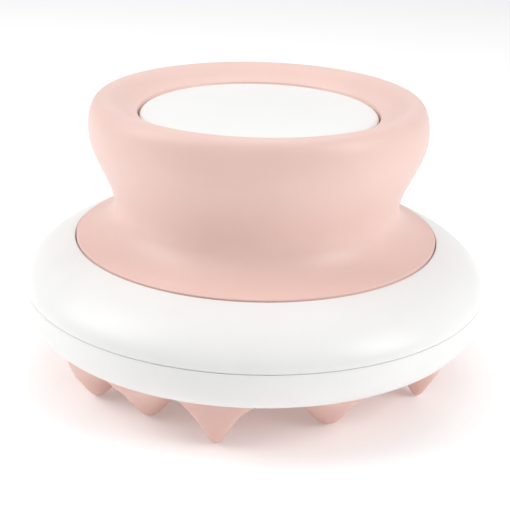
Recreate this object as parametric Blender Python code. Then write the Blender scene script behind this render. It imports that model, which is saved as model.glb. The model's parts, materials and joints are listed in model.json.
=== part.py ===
"""Hand-held scalp massager: a wide white two-shell body carries a soft hourglass
grip with a push button in its top, and a moulded silicone pad of tapered tines
underneath.  A small horizontal vibration motor with an eccentric weight sits in
the body, and a lithium cell and the control board sit in the grip.

Units: metres, +Z up.  The origin is the point on the vertical axis level with
the tine tips.  Every height below is given in millimetres above the pad's base
plane, from which the tines hang, unless it says otherwise.
"""

import math

import bmesh
import bpy
from mathutils import Matrix, Vector
from mathutils.geometry import delaunay_2d_cdt

MM = 0.001

# ---------------------------------------------------------------- dimensions
TINE_LEN = 12.0            # base plane to tine tips
SEG = 32                   # facets round the outer turned shells
SEG_IN = 24                # facets round the inner turned pieces
GAP = 0.3                  # assembly gap between touching pieces

BODY_R = 55.0              # greatest radius of the white body
EQUATOR_H = 9.673          # height of the greatest radius
UP_RISE, UP_RUN, UP_POW = 15.857, 38.095, 1.8646     # upper shell's superellipse
LOW_DROP, LOW_RUN, LOW_POW = 9.323, 5.0, 2.4543      # lower shell's superellipse
PART_H = 9.78              # top of the lower shell's wall (parting line)

RIM_R, RIM_H = 42.6, 21.0          # foot of the grip
WAIST_R, WAIST_H = 33.66, 28.78    # narrowest part of the grip
LIP_R, LIP_H = 39.30, 46.46        # widest part of the grip
CREST_R, CREST_H = 35.6, 53.6      # top of the grip's rolled lip
MOUTH_R, MOUTH_H = 28.09, 50.19    # edge of the lip beside the button

BUTTON_R = 27.6
BUTTON_TOP_H = 51.0
PLUNGER_R = 3.0

PAD_R = 49.2
PAD_SKIN_T = 2.2
TIP_FLAT_R = 1.2

MOTOR_R = 4.5
MOTOR_AXIS_H = 12.3
SHAFT_R = 0.75
WEIGHT_R = 5.0

CELL_R, CELL_LEN, CELL_H = 6.5, 50.0, 27.6

PAD_SCREW_PCR = 30.0       # pitch-circle radii of the screw groups
HOUSING_SCREW_PCR = 45.0
CORE_SCREW_PCR = 37.0
TRAY_SCREW_PCR = 28.9
GUIDE_SCREW_PCR = 30.2
BOARD_SCREW_PCR = 20.0

# Tines: (radius of the tip from the axis, azimuth in degrees).
FRONT_TINES = ((42.8, -145.6), (39.9, -124.8), (45.1, -99.3), (38.3, -63.2), (43.5, -27.1))
BACK_TINES = tuple((42.8 - 3.0 * (k % 2), 0.5 + 26.8 * k) for k in range(8))
INNER_TINES = tuple((21.5, 17.0 + 60.0 * k) for k in range(6))
TINES = FRONT_TINES + BACK_TINES + INNER_TINES + ((0.0, 0.0),)


# ------------------------------------------------------------------- helpers
def clear_scene():
    for obj in list(bpy.data.objects):
        bpy.data.objects.remove(obj, do_unlink=True)


def material(name, colour, roughness, metallic=0.0):
    found = bpy.data.materials.get(name)
    if found:
        return found
    made = bpy.data.materials.new(name)
    made.use_nodes = True
    shader = made.node_tree.nodes["Principled BSDF"]
    shader.inputs["Base Color"].default_value = (*colour, 1.0)
    shader.inputs["Roughness"].default_value = roughness
    shader.inputs["Metallic"].default_value = metallic
    made.diffuse_color = (*colour, 1.0)
    return made


def to_object(name, bm, mat, smooth=True, origin=(0.0, 0.0, 0.0)):
    """Makes an object of a bmesh given in millimetres above the base plane.
    origin, in the same units, is where the object's own origin goes."""
    bmesh.ops.recalc_face_normals(bm, faces=bm.faces)
    shift = Matrix.Translation(-Vector(origin))
    bm.transform(shift)
    bm.transform(Matrix.Scale(MM, 4))
    mesh = bpy.data.meshes.new(name)
    bm.to_mesh(mesh)
    bm.free()
    if smooth:
        mesh.shade_smooth()
        mesh.set_sharp_from_angle(angle=math.radians(35))
    obj = bpy.data.objects.new(name, mesh)
    obj.location = ((origin[0]) * MM, (origin[1]) * MM, (origin[2] + TINE_LEN) * MM)
    bpy.context.collection.objects.link(obj)
    mesh.materials.append(mat)
    return obj


def turned(profile, segments=SEG, phase=0.0):
    """A closed solid of revolution about Z.  profile is (r, h) points; points
    at r = 0 become single poles.  A profile that touches the axis at both ends
    is open there; any other is closed on itself."""
    bm = bmesh.new()
    rows = []
    for r, h in profile:
        if r < 1e-9:
            rows.append([bm.verts.new((0.0, 0.0, h))])
        else:
            rows.append([
                bm.verts.new((
                    r * math.cos(phase + 2 * math.pi * k / segments),
                    r * math.sin(phase + 2 * math.pi * k / segments),
                    h,
                ))
                for k in range(segments)
            ])
    closed = len(rows[0]) > 1 and len(rows[-1]) > 1
    pairs = list(zip(rows, rows[1:])) + ([(rows[-1], rows[0])] if closed else [])
    for a, b in pairs:
        for k in range(segments):
            n = (k + 1) % segments
            ring = [a[k % len(a)], a[n % len(a)], b[n % len(b)], b[k % len(b)]]
            face = []
            for v in ring:
                if v not in face:
                    face.append(v)
            if len(face) > 2:
                bm.faces.new(face)
    return bm


def rod(radius, h0, h1, x=0.0, y=0.0, segments=12, phase=0.2):
    bm = turned([(0, h0), (radius, h0), (radius, h1), (0, h1)], segments, phase=phase)
    bm.transform(Matrix.Translation((x, y, 0)))
    return bm


def box(x0, x1, y0, y1, h0, h1):
    bm = bmesh.new()
    bmesh.ops.create_cube(bm, size=1.0)
    bm.transform(
        Matrix.Translation(((x0 + x1) / 2, (y0 + y1) / 2, (h0 + h1) / 2))
        @ Matrix.Diagonal((x1 - x0, y1 - y0, h1 - h0, 1.0))
    )
    return bm


def along_x(bm, axis_h):
    """Lays a shape turned about Z along +X, at the height axis_h."""
    bm.transform(Matrix.Translation((0, 0, axis_h)) @ Matrix.Rotation(math.radians(90), 4, "Y"))
    return bm


def plate_x(outline, x0, x1):
    """A flat outline of (y, h) points, extruded along X from x0 to x1."""
    bm = bmesh.new()
    left = [bm.verts.new((x0, y, h)) for y, h in outline]
    right = [bm.verts.new((x1, y, h)) for y, h in outline]
    bm.faces.new(left)
    bm.faces.new(right[::-1])
    for k in range(len(outline)):
        n = (k + 1) % len(outline)
        bm.faces.new((left[k], left[n], right[n], right[k]))
    return bm


def helper(bm):
    """A hidden object that only cuts or joins."""
    obj = to_object("helper", bm, material("helper", (0.5, 0.5, 0.5), 0.5), smooth=False)
    obj.hide_render = True
    obj.display_type = "WIRE"
    return obj


def combine(obj, operation, shapes):
    """Applies one exact Boolean per shape, then removes the helpers."""
    for bm in shapes:
        other = helper(bm)
        mod = obj.modifiers.new("shape", "BOOLEAN")
        mod.operation = operation
        mod.solver = "EXACT"
        mod.object = other
        bpy.context.view_layer.update()
        graph = bpy.context.evaluated_depsgraph_get()
        result = bpy.data.meshes.new_from_object(obj.evaluated_get(graph), depsgraph=graph)
        obj.modifiers.remove(mod)
        obj.data = result
        bpy.data.objects.remove(other, do_unlink=True)
    obj.data.shade_smooth()
    obj.data.set_sharp_from_angle(angle=math.radians(35))
    return obj


def on_circle(radius, count, start_deg):
    return [
        (
            radius * math.cos(math.radians(start_deg + 360.0 * k / count)),
            radius * math.sin(math.radians(start_deg + 360.0 * k / count)),
        )
        for k in range(count)
    ]


def screw_up(name, x, y, head_h, head_t, head_r, shank_r, tip_h, mat):
    """A screw driven upwards: the head is at the bottom, from head_h."""
    profile = [
        (0, head_h), (head_r * 0.85, head_h), (head_r, head_h + 0.25),
        (head_r, head_h + head_t), (shank_r, head_h + head_t),
        (shank_r, tip_h - 0.6), (0, tip_h),
    ]
    bm = turned(profile, 8)
    bm.transform(Matrix.Translation((x, y, 0)))
    return to_object(name, bm, mat)


def screw_down(name, x, y, head_h, head_t, head_r, shank_r, tip_h, mat):
    """A screw driven downwards: the head's underside is at head_h."""
    profile = [
        (0, tip_h), (shank_r, tip_h + 0.6), (shank_r, head_h), (head_r, head_h),
        (head_r, head_h + head_t - 0.25), (head_r * 0.85, head_h + head_t), (0, head_h + head_t),
    ]
    bm = turned(profile, 8)
    bm.transform(Matrix.Translation((x, y, 0)))
    return to_object(name, bm, mat)


def wire(name, points, radius, mat):
    """An insulated lead along a smooth curve through points."""
    pts = [Vector(p) for p in points]
    pts = [pts[0] * 2 - pts[1]] + pts + [pts[-1] * 2 - pts[-2]]
    route = []
    for a, b, c, d in zip(pts, pts[1:], pts[2:], pts[3:]):
        for k in range(2):
            t = k / 2
            route.append(
                0.5 * (2 * b + (c - a) * t + (2 * a - 5 * b + 4 * c - d) * t * t
                       + (3 * b - a - 3 * c + d) * t ** 3)
            )
    route.append(pts[-2])
    curve = bpy.data.curves.new(name, "CURVE")
    curve.dimensions = "3D"
    curve.bevel_depth = radius * MM
    curve.bevel_resolution = 1
    curve.use_fill_caps = True
    spline = curve.splines.new("POLY")
    spline.points.add(len(route) - 1)
    for point, place in zip(spline.points, route):
        point.co = (place.x * MM, place.y * MM, (place.z + TINE_LEN) * MM, 1.0)
    obj = bpy.data.objects.new(name, curve)
    bpy.context.collection.objects.link(obj)
    curve.materials.append(mat)
    return obj


# ------------------------------------------------------------------ profiles
def upper_arc(r_end, steps):
    """Outside of the white upper shell, from its widest point up to r_end."""
    cos_end = ((r_end - (BODY_R - UP_RUN)) / UP_RUN) ** (UP_POW / 2)
    t_end = math.acos(cos_end)
    points = []
    for k in range(steps + 1):
        t = t_end * k / steps
        points.append((
            BODY_R - UP_RUN + UP_RUN * math.cos(t) ** (2 / UP_POW),
            EQUATOR_H + UP_RISE * math.sin(t) ** (2 / UP_POW),
        ))
    return points


def lower_arc(steps):
    """Outside of the white lower shell, from its foot up to its widest point."""
    points = []
    for k in range(steps + 1):
        t = math.pi / 2 * (1 - k / steps)
        points.append((
            BODY_R - LOW_RUN + LOW_RUN * max(math.cos(t), 0.0) ** (2 / LOW_POW),
            EQUATOR_H - LOW_DROP * math.sin(t) ** (2 / LOW_POW),
        ))
    return points


def bezier(p0, p1, p2, p3, n):
    return [
        tuple(
            (1 - t) ** 3 * a + 3 * (1 - t) ** 2 * t * b + 3 * (1 - t) * t * t * c + t ** 3 * d
            for a, b, c, d in zip(p0, p1, p2, p3)
        )
        for t in (k / n for k in range(n))
    ]


def grip_outline(n):
    """Outside of the soft grip: foot, waist, rolled lip, and down to the button."""
    foot, waist = (RIM_R, RIM_H), (WAIST_R, WAIST_H)
    lip, crest, mouth = (LIP_R, LIP_H), (CREST_R, CREST_H), (MOUTH_R, MOUTH_H)
    leave_foot = (-math.cos(0.17) * 5.35, math.sin(0.17) * 5.35)
    reach_mouth = (math.cos(0.15) * 3.53, math.sin(0.15) * 3.53)
    return (
        bezier(foot, (foot[0] + leave_foot[0], foot[1] + leave_foot[1]),
               (waist[0], waist[1] - 3.38), waist, n)
        + bezier(waist, (waist[0], waist[1] + 5.58), (lip[0], lip[1] - 5.92), lip, n)
        + bezier(lip, (lip[0], lip[1] + 4.6), (crest[0] + 2.5, crest[1]), crest, n)
        + bezier(crest, (crest[0] - 2.9, crest[1]),
                 (mouth[0] + reach_mouth[0], mouth[1] + reach_mouth[1]), mouth, n)
        + [mouth]
    )


def tine_fall(distance):
    """Share of the tine length left at a distance from its tip's middle."""
    if distance <= TIP_FLAT_R:
        return 1.0
    share = math.exp(-(((distance - TIP_FLAT_R) / 4.6) ** 1.15))
    return max(0.0, (share - 0.04) / 0.96)


def pad_height(x, y):
    """Height of the pad's underside, from 0 at the base plane to -TINE_LEN."""
    total = 0.0
    for radius, azimuth in TINES:
        tx = radius * math.cos(math.radians(azimuth))
        ty = radius * math.sin(math.radians(azimuth))
        fall = tine_fall(math.hypot(x - tx, y - ty))
        if fall >= 1.0:
            return -TINE_LEN
        total += fall ** 2.5
    return -TINE_LEN * min(0.995, total ** (1 / 2.5))


# ----------------------------------------------------------------- materials
clear_scene()
WHITE = material("white_abs", (0.86, 0.86, 0.85), 0.32)
SOFT_PINK = material("soft_grip", (0.86, 0.60, 0.53), 0.55)
TINE_PINK = material("silicone", (0.76, 0.45, 0.39), 0.5)
BUTTON_WHITE = material("button_white", (0.92, 0.92, 0.91), 0.35)
NYLON = material("nylon", (0.80, 0.79, 0.76), 0.5)
STEEL = material("steel", (0.62, 0.62, 0.63), 0.3, 1.0)
DARK_RUBBER = material("dark_rubber", (0.05, 0.05, 0.055), 0.7)
PORT_RUBBER = material("port_rubber", (0.84, 0.84, 0.83), 0.6)
PCB_GREEN = material("circuit_board", (0.03, 0.22, 0.10), 0.45)
BLACK_PLASTIC = material("black_plastic", (0.03, 0.03, 0.035), 0.45)
CELL_WRAP = material("cell_wrap", (0.10, 0.25, 0.55), 0.4)
TUNGSTEN = material("dense_alloy", (0.40, 0.39, 0.38), 0.35, 1.0)
WIRE_RED = material("wire_red", (0.55, 0.05, 0.04), 0.45)

# ------------------------------------------------------------------ tine pad
pad = bmesh.new()
flat_points, flat_heights = [], []


def pad_point(x, y, h):
    flat_points.append(Vector((x, y)))
    flat_heights.append(h)


for k in range(SEG):
    a = 2 * math.pi * k / SEG
    pad_point(PAD_R * math.cos(a), PAD_R * math.sin(a), 0.0)
for radius, azimuth in TINES:
    tx = radius * math.cos(math.radians(azimuth))
    ty = radius * math.sin(math.radians(azimuth))
    for ring_r, count in ((TIP_FLAT_R * 0.98, 6), (2.6, 7), (4.4, 7), (7.0, 6)):
        for k in range(count):
            a = math.radians(azimuth) + 2 * math.pi * (k + 0.5 * (ring_r > 3.0)) / count
            x, y = tx + ring_r * math.cos(a), ty + ring_r * math.sin(a)
            if math.hypot(x, y) > PAD_R - 0.8:
                continue
            near = min(
                math.hypot(x - r * math.cos(math.radians(z)), y - r * math.sin(math.radians(z)))
                for r, z in TINES
            )
            if near < ring_r - 0.01:
                continue
            if any((p - Vector((x, y))).length < 0.9 for p in flat_points):
                continue
            pad_point(x, y, pad_height(x, y))
edges = [(k, (k + 1) % SEG) for k in range(SEG)]
verts2, _, faces2, origins, _, _ = delaunay_2d_cdt(flat_points, edges, [], 1, 1e-5)
under = []
for place, source in zip(verts2, origins):
    under.append(pad.verts.new((place.x, place.y, flat_heights[source[0]])))
for face in faces2:
    pad.faces.new([under[k] for k in face])
outer = [None] * SEG
for vert, source in zip(under, origins):
    if source[0] < SEG:
        outer[source[0]] = vert
previous = outer
for r, h in ((PAD_R, 4.3), (46.3, 4.3), (46.3, PAD_SKIN_T)):
    row = [
        pad.verts.new((r * math.cos(2 * math.pi * k / SEG), r * math.sin(2 * math.pi * k / SEG), h))
        for k in range(SEG)
    ]
    for k in range(SEG):
        n = (k + 1) % SEG
        pad.faces.new((previous[k], previous[n], row[n], row[k]))
    previous = row
pad.faces.new(previous)
tine_pad = to_object("tine_pad", pad, TINE_PINK)

pad_retainer = to_object(
    "pad_retainer", turned([(0, 2.5), (46.0, 2.5), (46.0, 4.3), (0, 4.3)], SEG_IN), NYLON
)
pad_screws = on_circle(PAD_SCREW_PCR, 4, 20.0)
combine(pad_retainer, "DIFFERENCE", [rod(1.3, 1.5, 5.5, x, y) for x, y in pad_screws])
for k, (x, y) in enumerate(pad_screws, 1):
    screw_down(f"pad_screw_{k}", x, y, 6.9, 1.3, 2.1, 0.95, 2.8, STEEL)

# ------------------------------------------------------------- lower housing
lower_profile = (
    [(0, 4.6), (49.5, 4.6), (49.5, 0.55)]
    + lower_arc(4)[:-1]
    + [(BODY_R, 9.35), (BODY_R - 0.2, PART_H), (53.0, PART_H), (53.0, 11.6), (52.2, 11.6),
       (52.2, 9.6), (50.6, 9.6), (50.6, 7.6), (49.6, 6.6), (0, 6.6)]
)
lower_housing = to_object("lower_housing", turned(lower_profile), WHITE)
housing_screws = on_circle(HOUSING_SCREW_PCR, 4, 45.0)
combine(lower_housing, "UNION", [rod(4.2, 5.6, 9.3, x, y, 16) for x, y in housing_screws])
combine(
    lower_housing, "DIFFERENCE",
    [rod(2.6, 3.6, 6.4, x, y, 14) for x, y in housing_screws]
    + [rod(1.45, 5.0, 10.0, x, y, 12) for x, y in housing_screws]
    + [rod(1.3, 3.6, 7.6, x, y, 12) for x, y in pad_screws],
)
housing_seal = to_object(
    "housing_seal", turned([(51.0, 9.9), (51.9, 9.9), (51.9, 11.3), (51.0, 11.3)], SEG), DARK_RUBBER
)

# ------------------------------------------------------------- upper housing
upper_profile = (
    [(BODY_R - 0.2, PART_H + GAP), (BODY_R - 0.02, 10.5)]
    + upper_arc(42.9, 6)[1:]
    + [(42.9, 18.6), (27.0, 18.6), (27.0, 16.6), (43.5, 16.6), (47.8, 15.6), (51.0, 13.6),
       (51.0, 11.6), (51.9, 11.6), (51.9, 12.3), (53.3, 12.3), (53.3, PART_H + GAP)]
)
upper_housing = to_object("upper_housing", turned(upper_profile), WHITE)
core_screws = on_circle(CORE_SCREW_PCR, 4, 20.0)
tray_screws = on_circle(TRAY_SCREW_PCR, 4, 45.0)
charge_bosses = ((-6.0, 40.0), (6.0, 40.0))
combine(
    upper_housing, "UNION",
    [rod(3.2, 9.6, 17.2, x, y, 14) for x, y in housing_screws]
    + [rod(1.9, 12.6, 17.2, x, y, 12) for x, y in charge_bosses],
)
combine(
    upper_housing, "DIFFERENCE",
    [rod(1.2, 9.0, 15.0, x, y, 12) for x, y in housing_screws]
    + [rod(1.0, 12.0, 15.6, x, y, 10) for x, y in charge_bosses]
    + [rod(1.3, 15.6, 19.6, x, y, 12) for x, y in core_screws]
    + [rod(1.1, 15.6, 19.6, x, y, 10) for x, y in tray_screws]
    + [box(-4.7, 4.7, 43.0, 57.0, 12.3, 16.5)],
)
for k, (x, y) in enumerate(housing_screws, 1):
    screw_up(f"housing_screw_{k}", x, y, 4.9, 1.2, 2.2, 1.0, 14.2, STEEL)

# -------------------------------------------------------------- grip and core
core_profile = [
    (40.3, 18.9), (40.3, 20.2), (36.4, 20.25), (33.3, 22.55), (30.95, 29.5),
    (32.0, 34.1), (35.6, 44.55), (35.6, 48.4), (33.4, 50.7),
    (31.5, 50.1), (31.5, 46.9), (28.6, 46.9), (28.6, 44.9), (33.0, 43.6),
    (30.0, 34.0), (29.0, 29.5), (31.2, 21.6), (33.2, 18.9),
]
grip_core = to_object("grip_core", turned(core_profile, SEG_IN), NYLON)
guide_screws = on_circle(GUIDE_SCREW_PCR, 3, 90.0)
combine(
    grip_core, "DIFFERENCE",
    [rod(1.3, 17.9, 20.6, x, y, 12) for x, y in core_screws]
    + [rod(1.1, 42.0, 46.2, x, y, 10) for x, y in guide_screws],
)
for k, (x, y) in enumerate(core_screws, 1):
    screw_up(f"core_screw_{k}", x, y, 14.9, 1.4, 1.9, 0.95, 20.1, STEEL)

sleeve_profile = grip_outline(4) + [
    (28.2, 47.2), (31.2, 47.2), (31.2, 50.3), (33.4, 51.2), (35.9, 48.5),
    (35.9, 44.5), (32.3, 34.0), (31.25, 29.5), (33.6, 22.8),
    (36.6, 20.6), (40.6, 20.5), (40.6, 18.9), (RIM_R, 18.9),
]
grip_sleeve = to_object("grip_sleeve", turned(sleeve_profile), SOFT_PINK)

# -------------------------------------------------------------------- button
# The button's own origin is on the axis it is pressed along.
cap_profile = [
    (0, 40.4), (PLUNGER_R, 40.4), (PLUNGER_R, 48.6), (25.3, 48.6), (25.3, 45.0),
    (BUTTON_R, 45.0), (BUTTON_R, 48.9), (27.4, 49.6), (26.6, 50.15), (24.0, 50.5),
    (18.0, 50.8), (8.0, BUTTON_TOP_H), (0, BUTTON_TOP_H),
]
button_cap = to_object("button_cap", turned(cap_profile), BUTTON_WHITE, origin=(0, 0, 48.6))

guide_profile = [
    (3.4, 41.0), (3.4, 42.8), (23.0, 42.8), (23.0, 47.0), (24.9, 47.0), (24.9, 42.8),
    (28.4, 42.8), (28.4, 43.75), (31.3, 43.75), (31.3, 41.0),
]
button_guide = to_object("button_guide", turned(guide_profile, SEG_IN), NYLON)
board_screws = on_circle(BOARD_SCREW_PCR, 3, 90.0)
combine(button_guide, "UNION", [rod(2.2, 37.9, 41.8, x, y, 12) for x, y in board_screws])
combine(
    button_guide, "DIFFERENCE",
    [rod(1.1, 37.0, 40.4, x, y, 10) for x, y in board_screws]
    + [rod(1.1, 40.0, 44.6, x, y, 10) for x, y in guide_screws],
)
for k, (x, y) in enumerate(guide_screws, 1):
    screw_up(f"guide_screw_{k}", x, y, 39.5, 1.2, 1.3, 0.8, 45.9, STEEL)

button_stop_ring = to_object(
    "button_stop_ring",
    turned([(25.2, 43.1), (28.1, 43.1), (28.1, 43.5), (25.2, 43.5)], SEG_IN), DARK_RUBBER,
)

# Return spring: a round wire wound about the plunger.
spring = bmesh.new()
TURNS, PER_TURN, AROUND = 3, 10, 5
COIL_R, WIRE_R, COIL_H0, COIL_H1 = 4.6, 0.35, 43.5, 48.0
rings = []
for k in range(TURNS * PER_TURN + 1):
    a = 2 * math.pi * k / PER_TURN
    centre = Vector((COIL_R * math.cos(a), COIL_R * math.sin(a),
                     COIL_H0 + (COIL_H1 - COIL_H0) * k / (TURNS * PER_TURN)))
    outward = Vector((math.cos(a), math.sin(a), 0))
    rings.append([
        spring.verts.new(centre + WIRE_R * (math.cos(2 * math.pi * j / AROUND) * outward
                                            + math.sin(2 * math.pi * j / AROUND) * Vector((0, 0, 1))))
        for j in range(AROUND)
    ])
for a, b in zip(rings, rings[1:]):
    for j in range(AROUND):
        n = (j + 1) % AROUND
        spring.faces.new((a[j], a[n], b[n], b[j]))
spring.faces.new(rings[0])
spring.faces.new(rings[-1][::-1])
to_object("button_spring", spring, STEEL)

# ------------------------------------------------------------- control board
control_board = to_object(
    "control_board", turned([(0, 36.0), (24.0, 36.0), (24.0, 37.6), (0, 37.6)], SEG_IN),
    PCB_GREEN, smooth=False,
)
combine(control_board, "DIFFERENCE", [rod(1.15, 35.0, 38.6, x, y, 10) for x, y in board_screws])
for k, (x, y) in enumerate(board_screws, 1):
    screw_up(f"board_screw_{k}", x, y, 34.4, 1.2, 1.6, 0.8, 40.1, STEEL)
tact_switch = to_object("tact_switch", box(-3, 3, -3, 3, 37.9, 38.5), BLACK_PLASTIC, smooth=False)
combine(tact_switch, "UNION", [rod(1.6, 38.2, 39.0, 0, 0, 12)])

# ------------------------------------------------------------------- battery
battery_cell = to_object(
    "battery_cell",
    along_x(turned([(0, -CELL_LEN / 2), (CELL_R - 0.4, -CELL_LEN / 2), (CELL_R, -CELL_LEN / 2 + 0.4),
                    (CELL_R, CELL_LEN / 2 - 0.4), (CELL_R - 0.4, CELL_LEN / 2), (0, CELL_LEN / 2)],
                   24), CELL_H),
    CELL_WRAP,
)
battery_tray = to_object(
    "battery_tray", turned([(0, 18.9), (30.3, 18.9), (30.3, 20.3), (0, 20.3)], SEG_IN), NYLON,
)
combine(battery_tray, "UNION", [box(-20, 20, -8.4, 8.4, 19.6, 26.0)])
combine(
    battery_tray, "DIFFERENCE",
    [along_x(turned([(0, -22), (CELL_R + 0.3, -22), (CELL_R + 0.3, 22), (0, 22)], 24), CELL_H)]
    + [rod(1.2, 17.9, 21.3, x, y, 10) for x, y in tray_screws]
    + [rod(1.6, 17.9, 21.3, -20.0, 12.0, 12), rod(1.6, 17.9, 21.3, 8.0, 17.0, 12)],
)
for k, (x, y) in enumerate(tray_screws, 1):
    screw_down(f"tray_screw_{k}", x, y, 20.6, 1.1, 1.6, 0.8, 17.0, STEEL)


def arch(inner, outer, centre_h, foot_h, steps=14):
    """Outline of a half ring standing over an axis, as (y, h) points."""
    a_out = math.asin((foot_h - centre_h) / outer)
    a_in = math.asin((foot_h - centre_h) / inner)
    points = []
    for k in range(steps + 1):
        a = a_out + (math.pi - 2 * a_out) * k / steps
        points.append((outer * math.cos(a), centre_h + outer * math.sin(a)))
    for k in range(steps + 1):
        a = math.pi - a_in - (math.pi - 2 * a_in) * k / steps
        points.append((inner * math.cos(a), centre_h + inner * math.sin(a)))
    return points


battery_strap = to_object("battery_strap", plate_x(arch(6.8, 7.6, CELL_H, 26.3), -4, 4), NYLON)

# --------------------------------------------------------------------- motor
motor_can = to_object(
    "motor_can",
    along_x(turned([(0, -14.0), (MOTOR_R - 0.3, -14.0), (MOTOR_R, -13.7), (MOTOR_R, 5.7),
                    (MOTOR_R - 0.3, 6.0), (SHAFT_R + 0.07, 6.0), (SHAFT_R + 0.07, -2.0), (0, -2.0)],
                   20), MOTOR_AXIS_H),
    STEEL,
)
motor_end_cap = to_object(
    "motor_end_cap",
    along_x(turned([(0, -15.8), (4.0, -15.8), (4.2, -15.5), (4.2, -14.3), (0, -14.3)], 20),
            MOTOR_AXIS_H),
    BLACK_PLASTIC,
)
motor_shaft = to_object(
    "motor_shaft",
    along_x(turned([(0, -1.6), (SHAFT_R, -1.6), (SHAFT_R, 17.5), (0, 17.5)], 16), MOTOR_AXIS_H),
    STEEL, origin=(8.0, 0.0, MOTOR_AXIS_H),
)
weight_outline = [
    (WEIGHT_R * math.cos(math.pi + math.pi * k / 14), MOTOR_AXIS_H + WEIGHT_R * math.sin(math.pi + math.pi * k / 14))
    for k in range(15)
] + [
    (2.0 * math.cos(math.pi * k / 8), MOTOR_AXIS_H + 2.0 * math.sin(math.pi * k / 8))
    for k in range(9)
]
eccentric_weight = to_object(
    "eccentric_weight", plate_x(weight_outline, 8.5, 16.5), TUNGSTEN,
    origin=(8.0, 0.0, MOTOR_AXIS_H),
)
combine(
    eccentric_weight, "DIFFERENCE",
    [along_x(turned([(0, 7.5), (SHAFT_R + 0.07, 7.5), (SHAFT_R + 0.07, 17.3), (0, 17.3)], 16),
             MOTOR_AXIS_H)],
)

motor_cradle = to_object("motor_cradle", box(-13, 5, -9.2, 9.2, 6.9, 11.3), NYLON, smooth=False)
clamp_screws = ((-4.0, -7.6), (-4.0, 7.6))
combine(
    motor_cradle, "DIFFERENCE",
    [along_x(turned([(0, -16), (MOTOR_R + 0.3, -16), (MOTOR_R + 0.3, 9), (0, 9)], 20), MOTOR_AXIS_H)]
    + [rod(1.1, 7.7, 12.3, x, y, 10) for x, y in clamp_screws],
)
clamp_out, clamp_in, clamp_h0, clamp_h1 = 5.7, 4.8, 11.6, 12.9
a0 = math.asin((clamp_h1 - MOTOR_AXIS_H) / clamp_out)
b0 = math.asin((clamp_h0 - MOTOR_AXIS_H) / clamp_in)
clamp_outline = (
    [(9.2, clamp_h0), (9.2, clamp_h1)]
    + [(clamp_out * math.cos(a0 + (math.pi - 2 * a0) * k / 10),
        MOTOR_AXIS_H + clamp_out * math.sin(a0 + (math.pi - 2 * a0) * k / 10)) for k in range(11)]
    + [(-9.2, clamp_h1), (-9.2, clamp_h0)]
    + [(clamp_in * math.cos(math.pi - b0 - (math.pi - 2 * b0) * k / 10),
        MOTOR_AXIS_H + clamp_in * math.sin(math.pi - b0 - (math.pi - 2 * b0) * k / 10))
       for k in range(11)]
)
motor_clamp = to_object("motor_clamp", plate_x(clamp_outline, -7, -1), NYLON)
combine(motor_clamp, "DIFFERENCE", [rod(1.1, 10.6, 13.9, x, y, 10) for x, y in clamp_screws])
for k, (x, y) in enumerate(clamp_screws, 1):
    screw_down(f"clamp_screw_{k}", x, y, 13.2, 1.1, 1.5, 0.8, 8.0, STEEL)

# ------------------------------------------------------------------ charging
charging_port = to_object("charging_port", box(-4.4, 4.4, 43.5, 49.9, 12.6, 16.2), STEEL, smooth=False)
combine(charging_port, "DIFFERENCE", [box(-3.8, 3.8, 45.0, 51.0, 13.1, 15.7)])
charge_board = to_object("charge_board", box(-7.9, 7.9, 37.6, 49.0, 11.3, 12.3), PCB_GREEN, smooth=False)
combine(charge_board, "DIFFERENCE", [rod(1.0, 10.3, 13.3, x, y, 10) for x, y in charge_bosses])
for k, (x, y) in enumerate(charge_bosses, 1):
    screw_up(f"charge_board_screw_{k}", x, y, 9.8, 1.2, 1.4, 0.65, 15.2, STEEL)

# The plug follows the shell's own outside, and a tongue reaches into the port.
port_plug = to_object(
    "port_plug", box(-4.3, 4.3, 50.2, 57.0, 12.7, 16.1), PORT_RUBBER, smooth=False,
    origin=(0.0, 50.2, 14.4),
)
full_body = turned(
    [(0, EQUATOR_H)] + [(BODY_R, EQUATOR_H)] + upper_arc(42.9, 6)[1:] + [(0, 21.0)], SEG
)
combine(port_plug, "INTERSECT", [full_body])
combine(port_plug, "UNION", [box(-3.4, 3.4, 46.2, 50.9, 13.5, 15.3)])

# --------------------------------------------------------------------- leads
wire("motor_lead", [(-16.7, 0, 12.3), (-18.6, 2.5, 12.9), (-20, 8, 15), (-20, 12, 18.2),
                    (-20, 12, 21.2), (-20, 12.4, 28), (-18.5, 13, 35.6)], 0.6, WIRE_RED)
wire("battery_lead", [(25.9, 0, 27.6), (27.0, 1.2, 28.9), (26.6, 3.6, 31.6), (22.4, 6, 35.5)],
     0.6, WIRE_RED)
wire("charge_lead", [(3, 37.0, 11.8), (3.2, 33, 12.0), (5.5, 25, 14), (8, 17, 17.8),
                     (8, 17, 21.2), (8, 15, 28), (8, 14.5, 35.6)], 0.6, WIRE_RED)
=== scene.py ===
"""Looks of the hand-held scalp massager: fine turned shells, a soft hourglass grip,
a moulded silicone tine pad, and procedural materials, in the CAD model's frame."""

import json
import math

import bmesh
import bpy
import numpy as np
from mathutils import Matrix, Vector


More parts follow.
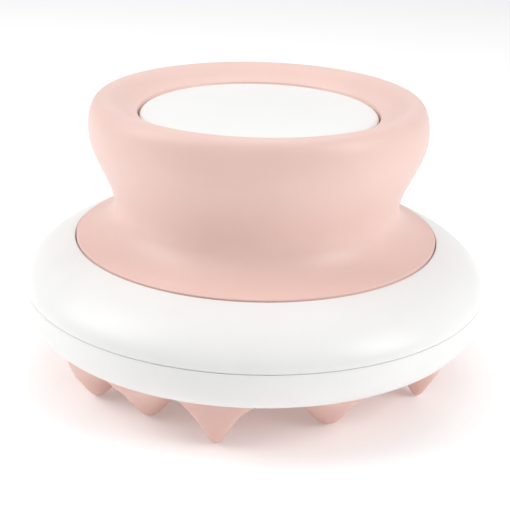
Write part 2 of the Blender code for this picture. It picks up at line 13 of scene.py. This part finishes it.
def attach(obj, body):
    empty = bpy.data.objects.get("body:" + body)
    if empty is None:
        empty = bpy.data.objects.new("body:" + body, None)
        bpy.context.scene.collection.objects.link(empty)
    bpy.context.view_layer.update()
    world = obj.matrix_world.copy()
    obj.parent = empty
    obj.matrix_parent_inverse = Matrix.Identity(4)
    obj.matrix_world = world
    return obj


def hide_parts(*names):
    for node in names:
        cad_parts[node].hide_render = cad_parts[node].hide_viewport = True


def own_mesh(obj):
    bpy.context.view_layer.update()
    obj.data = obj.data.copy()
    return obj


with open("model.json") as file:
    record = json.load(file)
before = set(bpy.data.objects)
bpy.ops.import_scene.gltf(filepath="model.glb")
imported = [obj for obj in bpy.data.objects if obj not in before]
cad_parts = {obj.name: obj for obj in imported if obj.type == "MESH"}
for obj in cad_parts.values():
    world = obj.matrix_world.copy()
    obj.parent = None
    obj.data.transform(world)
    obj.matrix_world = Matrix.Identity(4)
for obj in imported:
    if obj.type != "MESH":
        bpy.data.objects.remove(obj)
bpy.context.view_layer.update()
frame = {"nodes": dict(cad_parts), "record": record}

MM = 0.001
TINE_LEN = 12.0                 # heights below are millimetres above the pad's base plane
BODY_R, EQ_H = 55.0, 9.673


# ------------------------------------------------------------------ materials
def node_material(name):
    mat = bpy.data.materials.new(name)
    mat.use_nodes = True
    tree = mat.node_tree
    tree.nodes.clear()
    out = tree.nodes.new("ShaderNodeOutputMaterial")
    shader = tree.nodes.new("ShaderNodeBsdfPrincipled")
    tree.links.new(shader.outputs["BSDF"], out.inputs["Surface"])
    return mat, tree, shader


def surface(
    name, colour, tint, rough, metallic=0.0, mottle=140.0, rough_scale=420.0,
    bumps=((2600.0, 0.12),), bump_mm=0.02, edge=None, speck=None, **fixed
):
    """A moulded, drawn or printed surface.  colour and tint are two near base
    colours that drift into each other; rough is (least, greatest) roughness;
    bumps are (noise scale, share) pairs; edge is a colour worn along edges."""
    mat, tree, shader = node_material(name)
    nodes, links = tree.nodes, tree.links
    coord = nodes.new("ShaderNodeTexCoord")

    def noise(scale, detail=3.0, roughness=0.55):
        n = nodes.new("ShaderNodeTexNoise")
        n.inputs["Scale"].default_value = scale
        n.inputs["Detail"].default_value = detail
        n.inputs["Roughness"].default_value = roughness
        links.new(coord.outputs["Object"], n.inputs["Vector"])
        return n

    drift = noise(mottle)
    ramp = nodes.new("ShaderNodeValToRGB")
    ramp.color_ramp.elements[0].position = 0.32
    ramp.color_ramp.elements[1].position = 0.68
    ramp.color_ramp.elements[0].color = (*colour, 1)
    ramp.color_ramp.elements[1].color = (*tint, 1)
    links.new(drift.outputs["Fac"], ramp.inputs["Fac"])
    last = ramp.outputs["Color"]

    if speck:
        scale, share, speck_colour = speck
        grain = noise(scale, 1.0)
        cut = nodes.new("ShaderNodeValToRGB")
        cut.color_ramp.elements[0].position = 0.60
        cut.color_ramp.elements[1].position = 0.72
        cut.color_ramp.elements[0].color = (0, 0, 0, 1)
        cut.color_ramp.elements[1].color = (share, share, share, 1)
        links.new(grain.outputs["Fac"], cut.inputs["Fac"])
        mix = nodes.new("ShaderNodeMix")
        mix.data_type = "RGBA"
        links.new(cut.outputs["Color"], mix.inputs["Factor"])
        links.new(last, mix.inputs["A"])
        mix.inputs["B"].default_value = (*speck_colour, 1)
        last = mix.outputs["Result"]

    worn = None
    if edge:
        geometry = nodes.new("ShaderNodeNewGeometry")
        worn = nodes.new("ShaderNodeMapRange")
        worn.inputs["From Min"].default_value = 0.56
        worn.inputs["From Max"].default_value = 0.68
        worn.inputs["To Min"].default_value = 0.0
        worn.inputs["To Max"].default_value = 0.55
        links.new(geometry.outputs["Pointiness"], worn.inputs["Value"])
        mix = nodes.new("ShaderNodeMix")
        mix.data_type = "RGBA"
        links.new(worn.outputs["Result"], mix.inputs["Factor"])
        links.new(last, mix.inputs["A"])
        mix.inputs["B"].default_value = (*edge, 1)
        last = mix.outputs["Result"]
    links.new(last, shader.inputs["Base Color"])

    patchy = noise(rough_scale, 4.0, 0.6)
    spread = nodes.new("ShaderNodeMapRange")
    spread.inputs["From Min"].default_value = 0.2
    spread.inputs["From Max"].default_value = 0.8
    spread.inputs["To Min"].default_value = rough[0]
    spread.inputs["To Max"].default_value = rough[1]
    links.new(patchy.outputs["Fac"], spread.inputs["Value"])
    if worn:
        less = nodes.new("ShaderNodeMath")
        less.operation = "MULTIPLY_ADD"
        less.inputs[1].default_value = -0.12
        links.new(worn.outputs["Result"], less.inputs[0])
        links.new(spread.outputs["Result"], less.inputs[2])
        links.new(less.outputs["Value"], shader.inputs["Roughness"])
    else:
        links.new(spread.outputs["Result"], shader.inputs["Roughness"])

    height = None
    for scale, share in bumps:
        n = noise(scale, 2.0)
        scaled = nodes.new("ShaderNodeMath")
        scaled.operation = "MULTIPLY"
        scaled.inputs[1].default_value = share
        links.new(n.outputs["Fac"], scaled.inputs[0])
        if height is None:
            height = scaled.outputs["Value"]
        else:
            total = nodes.new("ShaderNodeMath")
            total.operation = "ADD"
            links.new(height, total.inputs[0])
            links.new(scaled.outputs["Value"], total.inputs[1])
            height = total.outputs["Value"]
    bump = nodes.new("ShaderNodeBump")
    bump.inputs["Strength"].default_value = 1.0
    bump.inputs["Distance"].default_value = bump_mm * MM
    links.new(height, bump.inputs["Height"])
    links.new(bump.outputs["Normal"], shader.inputs["Normal"])

    shader.inputs["Metallic"].default_value = metallic
    for key, value in fixed.items():
        shader.inputs[key.replace("_", " ").title().replace("Ior", "IOR")].default_value = value
    return mat


WHITE = surface(
    "white_shell", (0.885, 0.885, 0.876), (0.905, 0.905, 0.898), (0.33, 0.42), mottle=60.0,
    rough_scale=120.0, bumps=((3800.0, 0.5),), bump_mm=0.010,
    edge=(0.93, 0.93, 0.925),
)
BUTTON = surface(
    "button_white", (0.90, 0.90, 0.893), (0.915, 0.915, 0.91), (0.34, 0.44), mottle=70.0,
    rough_scale=300.0, bumps=((2300.0, 0.35), (260.0, 0.4)), bump_mm=0.012,
    edge=(0.94, 0.94, 0.938),
)
GRIP = surface(
    "soft_grip", (0.850, 0.590, 0.528), (0.868, 0.610, 0.548), (0.38, 0.47), mottle=75.0,
    rough_scale=520.0, bumps=((4200.0, 0.55), (900.0, 0.25)), bump_mm=0.018,
    edge=(0.90, 0.66, 0.58), sheen_weight=0.25, sheen_roughness=0.5,
)
SILICONE = surface(
    "silicone", (0.825, 0.545, 0.485), (0.845, 0.570, 0.508), (0.40, 0.54), mottle=110.0,
    rough_scale=640.0, bumps=((3400.0, 0.45), (700.0, 0.35)), bump_mm=0.018,
    edge=(0.86, 0.58, 0.51), subsurface_weight=0.12, subsurface_scale=0.002,
)
PORT_RUBBER = surface(
    "port_rubber", (0.84, 0.84, 0.825), (0.86, 0.86, 0.85), (0.5, 0.62), mottle=300.0,
    bumps=((5200.0, 0.5),), bump_mm=0.015, edge=(0.9, 0.9, 0.9),
)
NYLON = surface(
    "nylon", (0.74, 0.73, 0.69), (0.78, 0.77, 0.735), (0.42, 0.56), mottle=220.0,
    bumps=((3000.0, 0.5), (500.0, 0.3)), bump_mm=0.02, edge=(0.86, 0.86, 0.84),
)
STEEL = surface(
    "steel", (0.56, 0.56, 0.57), (0.63, 0.63, 0.635), (0.22, 0.38), metallic=1.0, mottle=900.0,
    bumps=((6000.0, 0.5),), bump_mm=0.01, edge=(0.78, 0.78, 0.79),
)
MOTOR_STEEL = surface(
    "motor_steel", (0.52, 0.52, 0.53), (0.60, 0.60, 0.61), (0.20, 0.34), metallic=1.0,
    mottle=500.0, bumps=((4800.0, 0.4),), bump_mm=0.01, edge=(0.75, 0.75, 0.76),
)
ALLOY = surface(
    "dense_alloy", (0.30, 0.29, 0.28), (0.40, 0.39, 0.38), (0.34, 0.52), metallic=1.0,
    mottle=1200.0, bumps=((3800.0, 0.7),), bump_mm=0.02, edge=(0.55, 0.54, 0.53),
)
BOARD = surface(
    "circuit_board", (0.012, 0.13, 0.05), (0.02, 0.18, 0.075), (0.28, 0.42), mottle=500.0,
    bumps=((1600.0, 0.6),), bump_mm=0.02, speck=(2600.0, 0.5, (0.55, 0.42, 0.16)),
)
BLACK = surface(
    "black_plastic", (0.018, 0.018, 0.02), (0.03, 0.03, 0.033), (0.38, 0.52), mottle=400.0,
    bumps=((3600.0, 0.5),), bump_mm=0.02, edge=(0.09, 0.09, 0.095),
)
DARK_RUBBER = surface(
    "dark_rubber", (0.025, 0.025, 0.027), (0.04, 0.04, 0.042), (0.6, 0.75), mottle=500.0,
    bumps=((4200.0, 0.6),), bump_mm=0.02, edge=(0.08, 0.08, 0.08),
)
CELL = surface(
    "cell_wrap", (0.03, 0.10, 0.34), (0.045, 0.13, 0.40), (0.22, 0.36), mottle=260.0,
    bumps=((700.0, 0.7), (2600.0, 0.2)), bump_mm=0.03, edge=(0.12, 0.22, 0.5),
)
WIRE = surface(
    "wire_red", (0.40, 0.025, 0.02), (0.48, 0.035, 0.028), (0.34, 0.48), mottle=500.0,
    bumps=((3200.0, 0.5),), bump_mm=0.01, edge=(0.6, 0.1, 0.08),
)
BY_SLOT = {
    "white_shell": WHITE, "button_white": BUTTON, "soft_grip": GRIP, "silicone": SILICONE,
    "port_rubber": PORT_RUBBER, "dark_rubber": DARK_RUBBER, "nylon": NYLON, "steel": STEEL,
    "motor_steel": MOTOR_STEEL, "dense_alloy": ALLOY, "circuit_board": BOARD,
    "black_plastic": BLACK, "cell_wrap": CELL, "wire_red": WIRE,
}

# Every CAD node that stays gets its procedural material.
slot_of = {s["node"]: s["material_slot"] for s in frame["record"]["subparts"]}
for node, obj in frame["nodes"].items():
    obj.data.materials.clear()
    obj.data.materials.append(BY_SLOT[slot_of[node]])


# -------------------------------------------------------------------- shapes
def place(name, verts, faces, mat, smooth_deg=40.0):
    """A mesh object from points in millimetres above the base plane."""
    mesh = bpy.data.meshes.new(name)
    points = np.asarray(verts, float) * MM
    points[:, 2] += TINE_LEN * MM
    mesh.from_pydata([tuple(p) for p in points], [], faces)
    bm = bmesh.new()
    bm.from_mesh(mesh)
    bmesh.ops.recalc_face_normals(bm, faces=bm.faces)
    bm.to_mesh(mesh)
    bm.free()
    mesh.shade_smooth()
    mesh.set_sharp_from_angle(angle=math.radians(smooth_deg))
    mesh.materials.append(mat)
    obj = bpy.data.objects.new(name, mesh)
    bpy.context.scene.collection.objects.link(obj)
    return obj


def rounded(points, radii, steps=5):
    """A closed outline whose corners are rounded: radii holds {index: radius}."""
    made = []
    count = len(points)
    for k, p in enumerate(points):
        radius = radii.get(k, 0.0)
        if not radius:
            made.append(tuple(p))
            continue
        here = Vector(p)
        a, b = Vector(points[k - 1]) - here, Vector(points[(k + 1) % count]) - here
        reach = min(radius, a.length * 0.45, b.length * 0.45)
        start, end = here + a.normalized() * reach, here + b.normalized() * reach
        for j in range(steps + 1):
            t = j / steps
            q = start * (1 - t) ** 2 + here * 2 * t * (1 - t) + end * t * t
            made.append((q.x, q.y))
    return made


def revolve(name, profile, mat, segments=192, closed=True, smooth_deg=40.0):
    """A solid of revolution; an unclosed profile runs from the axis to the axis."""
    verts, rows, faces = [], [], []
    for r, h in profile:
        if r < 1e-6:
            rows.append([len(verts)])
            verts.append((0, 0, h))
        else:
            rows.append(list(range(len(verts), len(verts) + segments)))
            for k in range(segments):
                a = 2 * math.pi * k / segments
                verts.append((r * math.cos(a), r * math.sin(a), h))
    pairs = list(zip(rows, rows[1:])) + ([(rows[-1], rows[0])] if closed else [])
    for a, b in pairs:
        for k in range(segments):
            n = (k + 1) % segments
            ring = [a[k % len(a)], a[n % len(a)], b[n % len(b)], b[k % len(b)]]
            face = []
            for v in ring:
                if v not in face:
                    face.append(v)
            faces.append(face)
    return place(name, verts, faces, mat, smooth_deg)


def upper_arc(r_end, steps):
    run, rise, power = 38.095, 15.857, 1.8646
    t_end = math.acos(((r_end - (BODY_R - run)) / run) ** (power / 2))
    return [
        (BODY_R - run + run * math.cos(t) ** (2 / power), EQ_H + rise * math.sin(t) ** (2 / power))
        for t in (t_end * (k / steps) ** 1.15 for k in range(steps + 1))
    ]


def lower_arc(steps):
    run, drop, power = 5.0, 9.323, 2.4543
    return [
        (BODY_R - run + run * max(math.cos(t), 0.0) ** (2 / power),
         EQ_H - drop * math.sin(t) ** (2 / power))
        for t in (math.pi / 2 * (1 - k / steps) for k in range(steps + 1))
    ]


def bezier(p0, p1, p2, p3, n):
    return [
        tuple(
            (1 - t) ** 3 * a + 3 * (1 - t) ** 2 * t * b + 3 * (1 - t) * t * t * c + t ** 3 * d
            for a, b, c, d in zip(p0, p1, p2, p3)
        )
        for t in (k / n for k in range(n))
    ]


def grip_outline(n):
    foot, waist, lip = (42.6, 21.0), (33.66, 28.78), (39.30, 46.46)
    crest, mouth = (35.6, 53.6), (28.09, 50.19)
    return (
        bezier(foot, (foot[0] - math.cos(0.17) * 5.35, foot[1] + math.sin(0.17) * 5.35),
               (waist[0], waist[1] - 3.38), waist, n)
        + bezier(waist, (waist[0], waist[1] + 5.58), (lip[0], lip[1] - 5.92), lip, n)
        + bezier(lip, (lip[0], lip[1] + 4.6), (crest[0] + 2.5, crest[1]), crest, n)
        + bezier(crest, (crest[0] - 2.9, crest[1]),
                 (mouth[0] + math.cos(0.15) * 3.53, mouth[1] + math.sin(0.15) * 3.53), mouth, n)
        + [mouth]
    )


# ----------------------------------------------------------------- the shells
SEAM = 9.86                     # middle of the thin parting line
low = [(0.0, 4.6), (49.5, 4.6), (49.5, 0.62), (49.72, 0.40)]
low += lower_arc(40)[1:-1]
low += [(54.998, 9.55), (54.93, SEAM - 0.09), (54.75, SEAM - 0.07),
        (53.0, SEAM - 0.07), (53.0, 11.6), (52.2, 11.6), (52.2, 9.6), (50.6, 9.6),
        (50.6, 7.6), (49.6, 6.6), (0.0, 6.6)]
lower_shell = revolve("lower_shell", low, WHITE, 224, closed=False)
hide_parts("lower_housing")
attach(lower_shell, "body")

arc = [p for p in upper_arc(43.25, 54) if p[1] > SEAM + 0.30]
up = [(54.75, SEAM + 0.07), (54.93, SEAM + 0.10), (54.985, SEAM + 0.20)] + arc
up += [(43.02, arc[-1][1] - 0.02), (42.86, arc[-1][1] - 0.22), (42.84, 18.6), (27.0, 18.6),
       (27.0, 16.6), (43.5, 16.6), (47.8, 15.6), (51.0, 13.6), (51.0, 11.6), (51.9, 11.6),
       (51.9, 12.3), (53.3, 12.3), (53.3, SEAM + 0.07)]
upper_shell = revolve("upper_shell", up, WHITE, 224)


def rounded_box(name, half_x, half_z, radius, y0, y1, centre_h, steps=6, flare=0.0):
    """A bar along Y with a rounded rectangular section; flare widens its y1 end."""
    ring = []
    for cx, cz, a0 in ((1, 1, 0), (-1, 1, 90), (-1, -1, 180), (1, -1, 270)):
        for k in range(steps + 1):
            a = math.radians(a0 + 90 * k / steps)
            ring.append((cx * (half_x - radius) + radius * math.cos(a),
                         cz * (half_z - radius) + radius * math.sin(a)))
    verts, faces = [], []
    for y, grow in ((y0, 0.0), (y1, flare)):
        for x, z in ring:
            verts.append((x * (1 + grow / half_x), y, centre_h + z * (1 + grow / half_z)))
    n = len(ring)
    faces.append(list(range(n)))
    faces.append(list(range(n, 2 * n))[::-1])
    for k in range(n):
        faces.append([k, (k + 1) % n, n + (k + 1) % n, n + k])
    return place(name, verts, faces, PORT_RUBBER)


def boolean(obj, other, operation, keep_other=False):
    mod = obj.modifiers.new("shape", "BOOLEAN")
    mod.operation, mod.solver, mod.object = operation, "EXACT", other
    bpy.context.view_layer.update()
    graph = bpy.context.evaluated_depsgraph_get()
    mesh = bpy.data.meshes.new_from_object(obj.evaluated_get(graph), depsgraph=graph)
    obj.modifiers.remove(mod)
    obj.data = mesh
    mesh.materials.clear()
    if not keep_other:
        bpy.data.objects.remove(other, do_unlink=True)
    mesh.shade_smooth()
    mesh.set_sharp_from_angle(angle=math.radians(40))
    return obj


boolean(upper_shell, rounded_box("cut", 4.62, 2.02, 1.3, 43.0, 57.0, 14.4), "DIFFERENCE")
upper_shell.data.materials.append(WHITE)
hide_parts("upper_housing")
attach(upper_shell, "body")

# ------------------------------------------------------------------- the grip
skin = grip_outline(44)
skin[0] = (42.42, 21.02)
skin = [(42.60, 20.82)] + skin
skin[-1] = (28.16, 50.02)
skin += [(28.14, 47.2), (31.2, 47.2), (31.2, 50.3), (33.4, 51.2), (35.9, 48.5),
         (35.9, 44.5), (32.3, 34.0), (31.25, 29.5), (33.6, 22.8), (36.6, 20.6),
         (40.6, 20.5), (40.6, 18.9), (42.60, 18.9)]
grip = revolve("grip_skin", skin, GRIP, 224)
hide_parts("grip_sleeve")
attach(grip, "body")

# ----------------------------------------------------------------- the button
cap = [(0.0, 40.4), (2.6, 40.4), (3.0, 40.8), (3.0, 48.3), (3.3, 48.6), (25.3, 48.6),
       (25.3, 45.3), (25.6, 45.0), (27.3, 45.0), (27.6, 45.3), (27.6, 48.75)]
cap += [(27.6 - 1.25 * (1 - math.cos(a)), 48.85 + 1.25 * math.sin(a))
        for a in (math.radians(6 + 74 * k / 12) for k in range(13))]
cap += [(r, 51.0 - 0.88 * (r / 26.4) ** 2.4) for r in (25.0, 23.0, 20.5, 17.5, 14.0, 10.0, 5.0)]
cap += [(0.0, 51.0)]
button = revolve("button_disc", cap, BUTTON, 192, closed=False)
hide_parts("button_cap")
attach(button, "button")

# --------------------------------------------------------------- the tine pad
# Tines: (radius, azimuth, stretch of the flank, direction of the long flank,
# width of the flanks, radius of the rounded tip).
TINES = [(42.8, -145.6, 1.1, 25.0, 1.12, 2.8), (39.9, -124.8, 1.15, 20.0, 1.18, 3.0),
         (45.1, -99.3, 1.0, 0.0, 1.0, 1.6), (38.3, -63.2, 1.2, 175.0, 1.20, 3.4),
         (43.5, -27.1, 1.1, 100.0, 1.0, 1.5)]
TINES += [(42.8 - 3.0 * (k % 2), 0.5 + 26.8 * k, 1.2, 0.5 + 26.8 * k + 180.0,
           1.12 + 0.16 * (k % 2), 1.5 + 0.5 * (k % 2)) for k in range(8)]
TINES += [(21.5, 17.0 + 60.0 * k, 1.0, 0.0, 1.2, 1.8) for k in range(6)]
TINES += [(0.0, 0.0, 1.0, 0.0, 1.2, 1.8)]


def pad_drop(x, y):
    """How far the pad's underside hangs below the base plane, for arrays of points."""
    total = np.zeros_like(x)
    for radius, azimuth, stretch, toward, width, tip in TINES:
        dx = x - radius * math.cos(math.radians(azimuth))
        dy = y - radius * math.sin(math.radians(azimuth))
        ux, uy = math.cos(math.radians(toward)), math.sin(math.radians(toward))
        along, across = dx * ux + dy * uy, -dx * uy + dy * ux
        along = np.where(along > 0, along / stretch, along)
        away = np.sqrt(along ** 2 + across ** 2 + tip ** 2) - tip
        share = np.exp(-((away / (4.6 * width)) ** 1.2))
        share = np.clip((share - 0.08) / 0.92, 0, None)
        total += share ** 3.0
    return TINE_LEN * np.minimum(total, 1.0) ** (1 / 3.0)


SECTORS, RINGS, PAD_R = 384, 84, 49.2
radii = PAD_R * (np.arange(1, RINGS + 1) / RINGS) ** 0.92
angle = 2 * np.pi * np.arange(SECTORS) / SECTORS
rr, aa = np.meshgrid(radii, angle, indexing="ij")
px, py = rr * np.cos(aa), rr * np.sin(aa)
drop = pad_drop(px, py)
edge_fade = np.clip((PAD_R - rr) / 1.1, 0, 1)
drop = drop * np.sqrt(1 - (1 - edge_fade) ** 2)
verts = [(0.0, 0.0, -float(pad_drop(np.zeros(1), np.zeros(1))[0]))]
verts += list(zip(px.ravel(), py.ravel(), (-drop).ravel()))
faces = [[0, 1 + (k + 1) % SECTORS, 1 + k] for k in range(SECTORS)]
for i in range(RINGS - 1):
    a, b = 1 + i * SECTORS, 1 + (i + 1) * SECTORS
    faces += [[a + k, a + (k + 1) % SECTORS, b + (k + 1) % SECTORS, b + k] for k in range(SECTORS)]
last = 1 + (RINGS - 1) * SECTORS
for r, h in ((PAD_R, 4.3), (46.3, 4.3), (46.3, 2.2), (0.0, 2.2)):
    start = len(verts)
    if r:
        verts += [(r * math.cos(a), r * math.sin(a), h) for a in angle]
        faces += [[last + k, last + (k + 1) % SECTORS, start + (k + 1) % SECTORS, start + k]
                  for k in range(SECTORS)]
        last = start
    else:
        verts.append((0, 0, h))
        faces += [[last + k, last + (k + 1) % SECTORS, start] for k in range(SECTORS)]
pad = place("silicone_pad", verts, faces, SILICONE, 60.0)
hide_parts("tine_pad")
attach(pad, "body")

# ------------------------------------------------------------------- the plug
plug = rounded_box("plug_bung", 4.28, 1.68, 1.05, 50.2, 57.0, 14.4)
shape = revolve("trim", [(0.0, EQ_H), (BODY_R, EQ_H)] + upper_arc(42.9, 60)[1:] + [(0.0, 21.0)],
                PORT_RUBBER, 224, closed=False)
boolean(plug, shape, "INTERSECT")
tongue = rounded_box("tongue", 3.35, 0.9, 0.5, 46.2, 51.2, 14.4)
boolean(plug, tongue, "UNION")
plug.data.materials.append(PORT_RUBBER)
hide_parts("port_plug")
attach(plug, "plug")

# ----------------------------------------------------------------- the spring
# The return spring shortens under the button as the button goes down; here it is a fixed coil of
# three turns with a mesh of its own.
verts, faces = [], []
TURNS, PER_TURN, AROUND = 3, 36, 12
COIL_R, WIRE_R, COIL_H0, COIL_H1 = 4.6, 0.35, 43.5, 48.0
for k in range(TURNS * PER_TURN + 1):
    a = 2 * math.pi * k / PER_TURN
    mid = COIL_H0 + (COIL_H1 - COIL_H0) * k / (TURNS * PER_TURN)
    for j in range(AROUND):
        b = 2 * math.pi * j / AROUND
        out = COIL_R + WIRE_R * math.cos(b)
        verts.append((out * math.cos(a), out * math.sin(a), mid + WIRE_R * math.sin(b)))
for k in range(TURNS * PER_TURN):
    for j in range(AROUND):
        n = (j + 1) % AROUND
        faces.append([k * AROUND + j, k * AROUND + n, (k + 1) * AROUND + n, (k + 1) * AROUND + j])
faces.append(list(range(AROUND)))
faces.append([TURNS * PER_TURN * AROUND + j for j in range(AROUND)][::-1])
coil = place("spring_coil", verts, faces, STEEL)
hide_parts("button_spring")
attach(coil, "body")
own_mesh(coil)

# ---------------------------------------------------------------------- stage
floor_mesh = bpy.data.meshes.new("floor")
floor_mesh.from_pydata([(-6, -6, 0), (6, -6, 0), (6, 6, 0), (-6, 6, 0)], [], [[0, 1, 2, 3]])
floor = bpy.data.objects.new("floor", floor_mesh)
bpy.context.scene.collection.objects.link(floor)
floor.location.z = -0.0002
FLOOR = surface("floor_paint", (0.92, 0.92, 0.92), (0.93, 0.93, 0.93), (0.75, 0.85), mottle=3.0,
                rough_scale=8.0, bumps=((200.0, 0.2),), bump_mm=0.01, emission_strength=0.18)
FLOOR.node_tree.nodes["Principled BSDF"].inputs["Emission Color"].default_value = (1, 1, 1, 1)
floor_mesh.materials.append(FLOOR)

world = bpy.data.worlds.new("studio")
bpy.context.scene.world = world
world.use_nodes = True
tree = world.node_tree
tree.nodes.clear()
coord = tree.nodes.new("ShaderNodeTexCoord")
split = tree.nodes.new("ShaderNodeSeparateXYZ")
tree.links.new(coord.outputs["Generated"], split.inputs["Vector"])
facing = tree.nodes.new("ShaderNodeMapRange")      # darker towards the viewer's side
facing.interpolation_type = "SMOOTHSTEP"
facing.inputs["From Min"].default_value = -1.0
facing.inputs["From Max"].default_value = 0.45
facing.inputs["To Min"].default_value = 0.0
facing.inputs["To Max"].default_value = 0.52
lifted = tree.nodes.new("ShaderNodeMath")
lifted.operation = "ADD"
tree.links.new(split.outputs["Y"], lifted.inputs[0])
tree.links.new(split.outputs["Z"], lifted.inputs[1])
tree.links.new(lifted.outputs["Value"], facing.inputs["Value"])
background = tree.nodes.new("ShaderNodeBackground")
background.inputs["Color"].default_value = (1.0, 1.0, 1.0, 1.0)
tree.links.new(facing.outputs["Result"], background.inputs["Strength"])
output = tree.nodes.new("ShaderNodeOutputWorld")
tree.links.new(background.outputs["Background"], output.inputs["Surface"])


def softbox(name, place_at, size_x, size_y, watts, aim=(0, 0, 0.03)):
    light = bpy.data.lights.new(name, "AREA")
    light.shape = "RECTANGLE"
    light.size, light.size_y, light.energy = size_x, size_y, watts
    obj = bpy.data.objects.new(name, light)
    bpy.context.scene.collection.objects.link(obj)
    obj.location = place_at
    obj.rotation_euler = (Vector(aim) - Vector(place_at)).to_track_quat("-Z", "Y").to_euler()
    return obj


softbox("left_box", (-0.58, -0.06, 0.46), 0.42, 0.50, 2.5)
softbox("right_box", (0.58, -0.26, 0.40), 0.30, 0.40, 2.3)
softbox("top_box", (0.0, 0.20, 0.85), 0.7, 0.7, 1.7)

# --------------------------------------------------------------------- camera
elevation, roll = math.radians(21.404), math.radians(1.616)
forward = Vector((0, math.cos(elevation), -math.sin(elevation)))
level_up = Vector((0, math.sin(elevation), math.cos(elevation)))
side = Vector((1, 0, 0)) * math.cos(roll) + level_up * math.sin(roll)
up_axis = level_up * math.cos(roll) - Vector((1, 0, 0)) * math.sin(roll)
camera_data = bpy.data.cameras.new("camera")
camera_data.sensor_width = 36.0
camera_data.lens = 36.0 * 1206.0 / 510.0
camera_data.clip_start = 0.01
camera = bpy.data.objects.new("camera", camera_data)
bpy.context.scene.collection.objects.link(camera)
turn = Matrix((
    (side.x, up_axis.x, -forward.x),
    (side.y, up_axis.y, -forward.y),
    (side.z, up_axis.z, -forward.z),
)).to_4x4()
camera.matrix_world = Matrix.Translation((-0.000065, -0.271524, 0.132676)) @ turn
bpy.context.scene.camera = camera
bpy.context.scene.view_settings.view_transform = "Standard"
